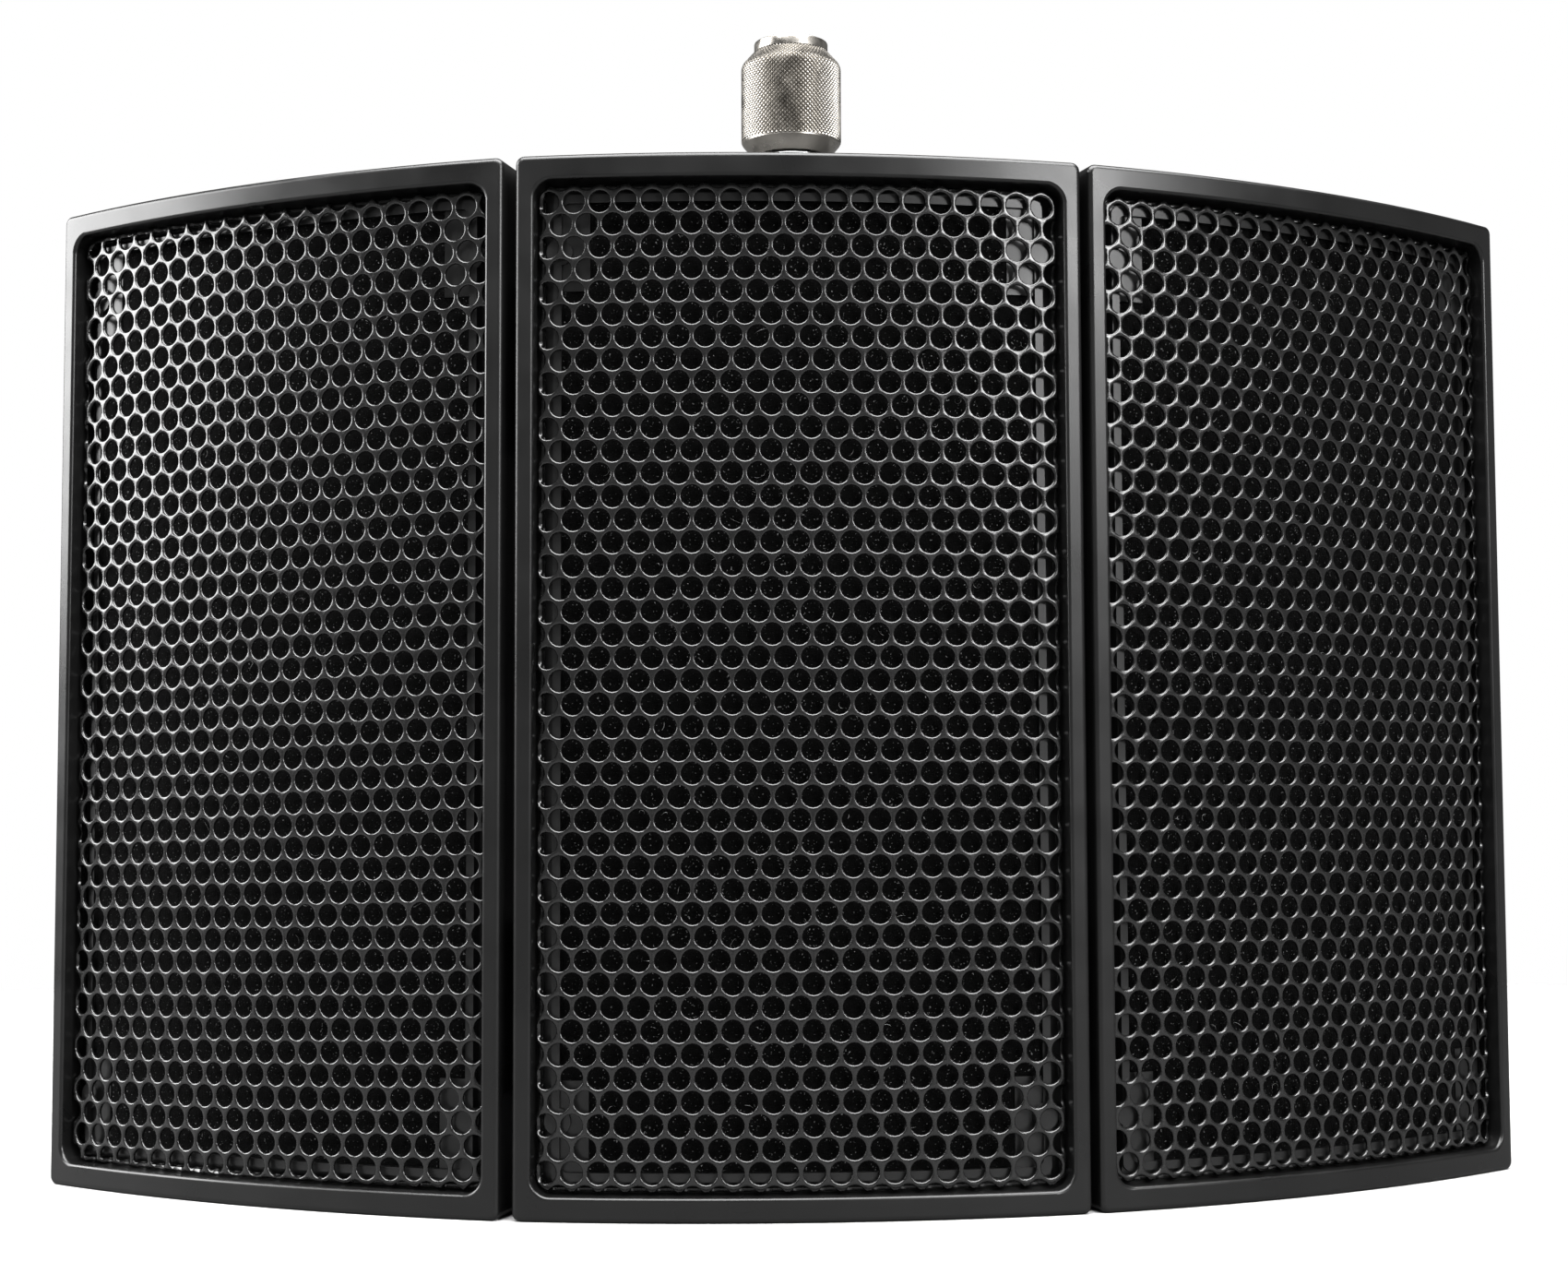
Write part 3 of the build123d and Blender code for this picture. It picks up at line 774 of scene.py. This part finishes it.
def make_knurl():
    """Diamonds between two families of crossed grooves, wrapped round the profile."""
    profile = knurl_profile()
    lengths = np.linalg.norm(np.diff(profile, axis=0), axis=1)
    run = np.concatenate([[0.0], np.cumsum(lengths)])
    rows = 2 * round(run[-1] / (2 * math.pi * NUT_RADIUS / KNURLS))
    vertices, faces, known = [], [], {}

    def point(a, b, drop):
        """The vertex at half-diamond steps a round and b up, this deep in a groove."""
        a = a % (2 * KNURLS)
        key = (round(a, 3), round(b, 3), drop)
        if key not in known:
            at = run[-1] * min(max(b, 0), rows) / rows
            radius = np.interp(at, run, profile[:, 0]) - drop
            height = np.interp(at, run, profile[:, 1])
            angle = math.pi * a / KNURLS
            known[key] = len(vertices)
            vertices.append((radius * math.cos(angle), radius * math.sin(angle), height))
        return known[key]

    for b in range(rows + 1):
        for a in range(b % 2, 2 * KNURLS, 2):
            corners = [(-1, 0), (0, -1), (1, 0), (0, 1)]
            if b == 0:
                corners = [(-1, 0), (1, 0), (0, 1)]
            if b == rows:
                corners = [(-1, 0), (0, -1), (1, 0)]
            low = [point(a + x, b + y, KNURL_DEPTH) for x, y in corners]
            if b in (0, rows):
                top = [point(a, b, 0.0)] * len(corners)
            else:
                top = [point(a + x * KNURL_FLAT, b + y * KNURL_FLAT, 0.0) for x, y in corners]
            for k in range(len(corners)):
                n = (k + 1) % len(corners)
                face = [low[k], low[n], top[n], top[k]]
                faces.append(list(dict.fromkeys(face)))
            if b not in (0, rows):
                faces.append(top)
    return vertices, faces


def make_thread(top, foot):
    """The thread inside the nut, as one helical strip of four steps per turn.

    The strip is cut off level at both ends, and faces left without height are dropped.
    """
    columns = KNURLS
    steps = 4
    relief = (0.0, 0.5, 1.0, 0.5)
    rows = math.ceil((top - foot) / THREAD_PITCH + 1) * steps
    vertices, faces = [], []
    for k in range(rows + 1):
        for j in range(columns):
            height = top - (k / steps - 1 + j / columns) * THREAD_PITCH
            radius = THREAD_RADIUS + THREAD_DEPTH * relief[k % steps]
            angle = 2 * math.pi * j / columns
            height = min(max(height, foot), top)
            vertices.append((radius * math.cos(angle), radius * math.sin(angle), height))
    for k in range(rows):
        for j in range(columns - 1):
            at = k * columns + j
            faces.append([at, at + 1, at + columns + 1, at + columns])
        if k >= steps:
            at = k * columns + columns - 1
            to = (k - steps) * columns
            faces.append([at, to, to + columns, at + columns])
    fine = 0.01 * MM
    spans = [len({round(vertices[i][2] / fine) for i in f}) > 1 for f in faces]
    return vertices, [f for f, keep in zip(faces, spans) if keep]


def make_nut():
    """Knurled body, turned ring, threaded bore, and the web that the post holds."""
    low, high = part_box("swivel_nut")
    top = high.z - PANEL_HEIGHT
    bottom = low.z - PANEL_HEIGHT
    foot = top - THREAD_LENGTH
    easing = 0.3 * MM
    outer = [
        (POST_HOLE, bottom + easing), (POST_HOLE + easing, bottom),
        (8.7 * MM, bottom), (9.15 * MM, bottom + 0.15 * MM),
        (11.72 * MM, 11.4 * MM), (NUT_RADIUS - KNURL_DEPTH, NUT_BEVEL_TOP),
    ]
    crown = [
        (NUT_RING_RADIUS - KNURL_DEPTH, NUT_RING_BASE), (NUT_RING_RADIUS, NUT_RING_BASE),
        (NUT_RING_RADIUS, top - 0.35 * MM), (NUT_RING_RADIUS - 0.1 * MM, top - 0.12 * MM),
        (NUT_RING_RADIUS - 0.35 * MM, top), (8.15 * MM, top),
        (THREAD_RADIUS + THREAD_DEPTH / 2, top - 0.4 * MM),
    ]
    bore = [
        (THREAD_RADIUS + THREAD_DEPTH, foot), (BORE_RADIUS, foot - 0.2 * MM),
        (BORE_RADIUS, WEB_TOP), (POST_HOLE + 0.25 * MM, WEB_TOP), (POST_HOLE, WEB_TOP - 0.2 * MM),
        (POST_HOLE, bottom + easing),
    ]
    parts = Parts()
    for outline in (outer, crown, bore):
        parts.add(*loft([circle_ring(r, z, KNURLS * 2) for r, z in outline]))
    parts.add(*make_knurl())
    parts.add(*make_thread(top - 0.4 * MM, foot))
    axis = (low + high) / 2
    place = Matrix.Translation((axis.x, axis.y, PANEL_HEIGHT))
    vertices = placed(parts.vertices, place)
    piece = make_piece("knurled_swivel_nut", vertices, parts.faces, MATERIALS["nut_nickel"], 25.0)
    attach(piece, "swivel_nut")
    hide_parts("swivel_nut")


for index, panel in enumerate(PANELS):
    make_grille(panel)
    make_felt(panel, 1.7 * index)
    make_foam(panel)
    make_frame_screws(panel)
make_hinge_screws("left")
make_hinge_screws("right")
make_bracket_screws()
make_nut()


# ---- stage, light and camera ----
FLOOR_RADIUS = 0.75
ROOM_GREY = 0.3
CAMERA_FROM_FACE = Vector((-0.03669, -0.55162, 0.09246))   # from the foot of the centre face
CAMERA_TURN = (math.pi / 2 + 0.06843, 0.00356, -0.05823)   # up a little, and towards the right
CAMERA_LENS = 57.06                 # on a 36 mm sensor


def make_stage():
    """A plain pale floor, which the object mirrors only faintly."""
    shader = Shader("floor_paper", Roughness=0.8)
    drift = shader.noise(3.0, 2.0)
    paper = shader.colours(drift, (0.4, 0.50), (0.6, 0.52))
    seen = shader.node("LightPath").outputs["Is Camera Ray"]
    bounced = (0.12, 0.12, 0.12, 1.0)
    shader.feed("Base Color", shader.mixed(seen, bounced, paper))
    rim = circle_ring(FLOOR_RADIUS, 0.0, 128)
    floor = make_piece("floor", rim, [range(len(rim))], shader.material)


def softbox(name, place, target, size, power):
    """A rectangular area light that faces a target."""
    light = bpy.data.lights.new(name, "AREA")
    light.shape = "RECTANGLE"
    light.size, light.size_y = size
    light.energy = power
    lamp = bpy.data.objects.new(name, light)
    lamp.location = place
    lamp.rotation_euler = (Vector(target) - Vector(place)).to_track_quat("-Z", "Y").to_euler()
    bpy.context.scene.collection.objects.link(lamp)


def make_lights():
    """A top light, a big box beside the left wing and a small one at the front right."""
    make_surround()
    middle = (0.0, 0.0, PANEL_HEIGHT / 2)
    softbox("top_light", (0.0, -0.4, 1.3), middle, (1.8, 1.1), 85.0)
    softbox("left_box", (-1.15, 0.08, 0.6), (-0.15, 0.0, 0.2), (0.8, 0.75), 24.0)
    softbox("right_box", (0.95, -1.25, 0.72), (0.06, -0.03, 0.2), (0.55, 0.5), 16.0)


def make_surround():
    """The camera sees plain white. The object is lit by a room that is dim just above eye level."""
    world = bpy.data.worlds.new("studio")
    world.use_nodes = True
    tree = world.node_tree
    seen = tree.nodes["Background"]
    seen.inputs["Color"].default_value = (1.0, 1.0, 1.0, 1.0)
    lit = tree.nodes.new("ShaderNodeBackground")
    direction = tree.nodes.new("ShaderNodeTexCoord")
    parts = tree.nodes.new("ShaderNodeSeparateXYZ")
    ramp = tree.nodes.new("ShaderNodeValToRGB")
    tree.links.new(direction.outputs["Generated"], parts.inputs[0])
    tree.links.new(parts.outputs["Z"], ramp.inputs["Fac"])
    points = ramp.color_ramp.elements
    for position, grey in ((0.18, ROOM_GREY), (0.4, 0.07)):
        point = points.new(position)
        point.color = (grey, grey, grey, 1.0)
    points[0].color = (ROOM_GREY, ROOM_GREY, ROOM_GREY, 1.0)
    points[-1].color = (ROOM_GREY, ROOM_GREY, ROOM_GREY, 1.0)
    tree.links.new(ramp.outputs["Color"], lit.inputs["Color"])
    path = tree.nodes.new("ShaderNodeLightPath")
    choice = tree.nodes.new("ShaderNodeMixShader")
    tree.links.new(path.outputs["Is Camera Ray"], choice.inputs["Fac"])
    tree.links.new(lit.outputs[0], choice.inputs[1])
    tree.links.new(seen.outputs[0], choice.inputs[2])
    tree.links.new(choice.outputs[0], tree.nodes["World Output"].inputs["Surface"])
    bpy.context.scene.world = world


def make_camera():
    """The camera stands low, a little left of the middle, and looks slightly up."""
    data = bpy.data.cameras.new("camera")
    data.lens = CAMERA_LENS
    data.sensor_width = 36.0
    data.clip_start = 0.01
    camera = bpy.data.objects.new("camera", data)
    face = ARC_CENTRE + on_arc(FACE_RADIUS, 0.0)
    camera.location = face + CAMERA_FROM_FACE
    camera.rotation_euler = CAMERA_TURN
    bpy.context.scene.collection.objects.link(camera)
    bpy.context.scene.camera = camera


make_stage()
make_lights()
make_camera()
bpy.context.scene.view_settings.view_transform = "Standard"
